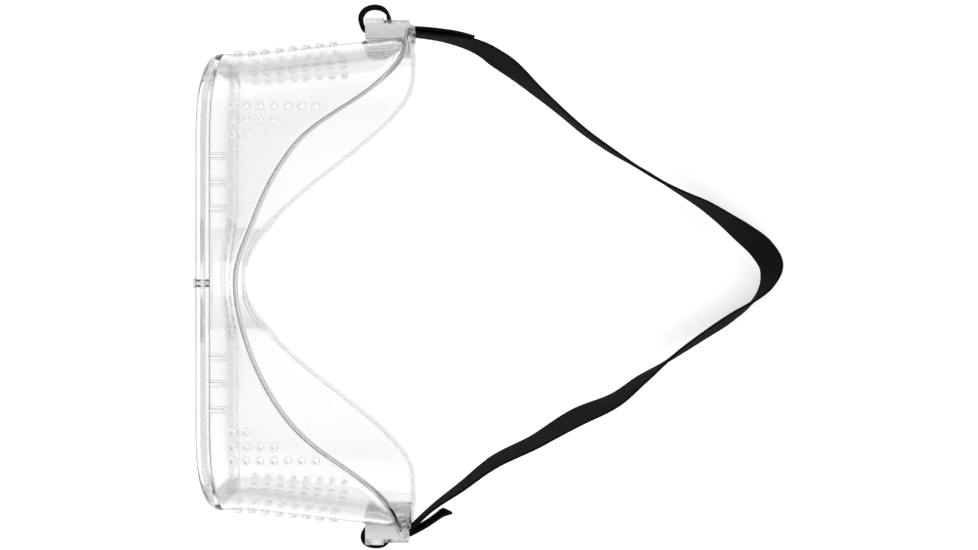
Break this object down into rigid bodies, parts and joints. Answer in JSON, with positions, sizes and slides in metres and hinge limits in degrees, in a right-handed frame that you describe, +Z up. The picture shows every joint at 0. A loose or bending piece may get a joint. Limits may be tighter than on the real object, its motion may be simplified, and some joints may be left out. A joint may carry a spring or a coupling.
{
  "type": "safety goggles",
  "caption": "Clear direct-vent safety goggles with a flat-fronted lens in a soft body, clip-on strap buckles and a black elastic headband.",
  "frame": {"origin": "middle of the footprint, on the plane that the goggles rest on", "axes": "+X towards the wearer's left, -Y the way the wearer looks, +Y towards the back of the headband, +Z up"},
  "size_m": [0.2036, 0.216, 0.0795],
  "materials": {
    "clear_body": "clear soft moulded plastic, glossy",
    "clear_lens": "clear polished sheet",
    "clear_clip": "milky translucent moulded plastic",
    "black_elastic": "black woven elastic, matte"
  },
  "bodies": {
    "goggle": {"frame_body": "clear_body", "lens": "clear_lens", "lens_lock_stud": "clear_clip", "strap_clip_right": "clear_clip", "strap_clip_left": "clear_clip", "strap_bight_right": "black_elastic", "strap_bight_left": "black_elastic"},
    "headband": {"strap_run_right": "black_elastic", "strap_run_left": "black_elastic"},
    "tail_right": {"strap_tail_right": "black_elastic"},
    "tail_left": {"strap_tail_left": "black_elastic"},
    "band_back": {"strap_back": "black_elastic"}
  },
  "joints": [
    {"name": "strap_swing", "type": "hinge", "parent": "goggle", "child": "headband", "pos_m": [0, 0.0013, 0.042], "axis": [1, 0, 0], "range_deg": [-50, 75]},
    {"name": "strap_stretch", "type": "slide", "parent": "headband", "child": "band_back", "axis": [0, 1, 0], "range_m": [0, 0.05]},
    {"name": "tail_pull_right", "type": "slide", "parent": "goggle", "child": "tail_right", "axis": [0, 1, 0], "range_m": [0, 0.02]},
    {"name": "tail_pull_left", "type": "slide", "parent": "goggle", "child": "tail_left", "axis": [0, 1, 0], "range_m": [0, 0.02]}
  ]
}
